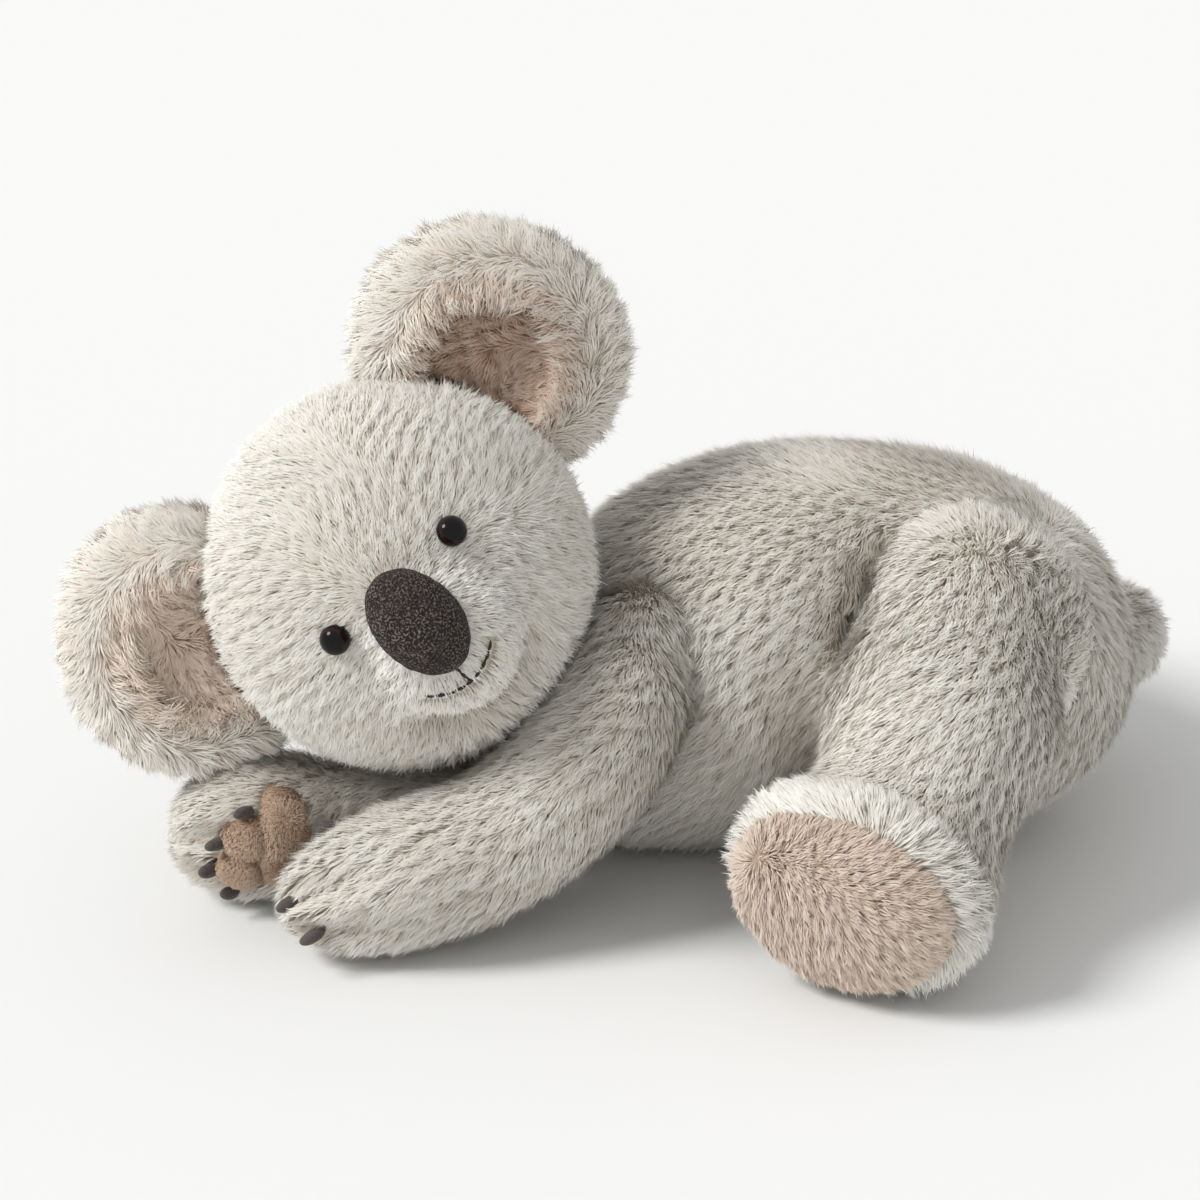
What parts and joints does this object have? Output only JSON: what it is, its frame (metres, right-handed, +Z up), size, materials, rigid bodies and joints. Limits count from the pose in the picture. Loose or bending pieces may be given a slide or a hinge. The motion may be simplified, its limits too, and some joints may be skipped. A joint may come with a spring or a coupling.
{
  "type": "plush koala pillow",
  "caption": "Stuffed plush koala pillow lying on its belly, head rolled on to its folded arms, with cupped ears, a bulb nose and a short tail.",
  "frame": {"origin": "under the middle of the whole toy, on the surface that it lies on", "axes": "+X towards the rump, -Y towards the face, +Z up"},
  "size_m": [0.5032, 0.3984, 0.2892],
  "materials": {
    "grey_plush": "long pile plush, pale warm grey with lighter tips",
    "cream_plush": "long pile plush, cream",
    "pink_plush": "short pile plush, pink beige",
    "sole_plush": "short pile plush, pale pinkish beige",
    "palm_suede": "suede cloth, tan",
    "nose_knit": "looped knit, dark brown grey",
    "claw_felt": "felt, dark grey brown",
    "eye_plastic": "glossy, dark pupil with a brown ring",
    "washer_plastic": "moulded",
    "mouth_thread": "twisted thread",
    "fibre_fill": "loose white fibre"
  },
  "bodies": {
    "body": {"body_cover": "grey_plush", "body_fill": "fibre_fill"},
    "head": {"head_cover": "grey_plush", "head_fill": "fibre_fill", "nose_cover": "nose_knit", "nose_fill": "fibre_fill", "mouth_stitching": "mouth_thread", "left_eye": "eye_plastic", "left_eye_washer": "washer_plastic", "right_eye": "eye_plastic", "right_eye_washer": "washer_plastic"},
    "left_ear": {"left_ear_back": "cream_plush", "left_ear_lining": "pink_plush"},
    "right_ear": {"right_ear_back": "cream_plush", "right_ear_lining": "pink_plush"},
    "left_arm": {"left_arm_cover": "grey_plush", "left_arm_fill": "fibre_fill", "left_palm_pad": "palm_suede", "left_finger_pad_1": "palm_suede", "left_finger_pad_2": "palm_suede", "left_claw_1": "claw_felt", "left_claw_2": "claw_felt", "left_claw_3": "claw_felt", "left_claw_4": "claw_felt"},
    "right_arm": {"right_arm_cover": "grey_plush", "right_arm_fill": "fibre_fill", "right_palm_pad": "palm_suede", "right_finger_pad_1": "palm_suede", "right_finger_pad_2": "palm_suede", "right_claw_1": "claw_felt", "right_claw_2": "claw_felt", "right_claw_3": "claw_felt", "right_claw_4": "claw_felt"},
    "left_leg": {"left_leg_cover": "grey_plush", "left_leg_fill": "fibre_fill", "left_sole_pad": "sole_plush"},
    "right_leg": {"right_leg_cover": "grey_plush", "right_leg_fill": "fibre_fill", "right_sole_pad": "sole_plush"},
    "tail": {"tail_cover": "grey_plush", "tail_fill": "fibre_fill"}
  },
  "joints": [
    {"name": "head_tilt", "type": "hinge", "parent": "body", "child": "head", "pos_m": [-0.09898, -0.06394, 0.1455], "axis": [-0.166, 0.9722, -0.165], "range_deg": [0, 12], "stiffness_Nm_per_rad": 0.5},
    {"name": "left_ear_fold", "type": "hinge", "parent": "head", "child": "left_ear", "pos_m": [-0.06694, -0.03372, 0.2186], "axis": [-0.9001, -0.0811, 0.428], "range_deg": [-15, 15], "stiffness_Nm_per_rad": 0.2},
    {"name": "right_ear_fold", "type": "hinge", "parent": "head", "child": "right_ear", "pos_m": [-0.18007, -0.06985, 0.11957], "axis": [0.3099, -0.1074, -0.9447], "range_deg": [-15, 15], "stiffness_Nm_per_rad": 0.2},
    {"name": "left_arm_lift", "type": "hinge", "parent": "body", "child": "left_arm", "pos_m": [0.00084, -0.06872, 0.11493], "axis": [-0.6406, 0.2202, 0.7357], "range_deg": [0, 35], "stiffness_Nm_per_rad": 0.3},
    {"name": "right_arm_roll", "type": "hinge", "parent": "body", "child": "right_arm", "pos_m": [-0.03844, -0.044, 0.0344], "axis": [-0.9597, -0.2812, 0], "range_deg": [-20, 20], "stiffness_Nm_per_rad": 0.2},
    {"name": "left_leg_lift", "type": "hinge", "parent": "body", "child": "left_leg", "pos_m": [0.14126, -0.06195, 0.11307], "axis": [-1, 0, 0], "range_deg": [0, 30], "stiffness_Nm_per_rad": 0.5},
    {"name": "right_leg_lift", "type": "hinge", "parent": "body", "child": "right_leg", "pos_m": [0.14126, 0.06141, 0.09243], "axis": [1, 0, 0], "range_deg": [0, 30], "stiffness_Nm_per_rad": 0.5},
    {"name": "tail_wag", "type": "hinge", "parent": "body", "child": "tail", "pos_m": [0.21219, 0.03885, 0.06735], "axis": [0, 0, 1], "range_deg": [-15, 15], "stiffness_Nm_per_rad": 0.1}
  ]
}
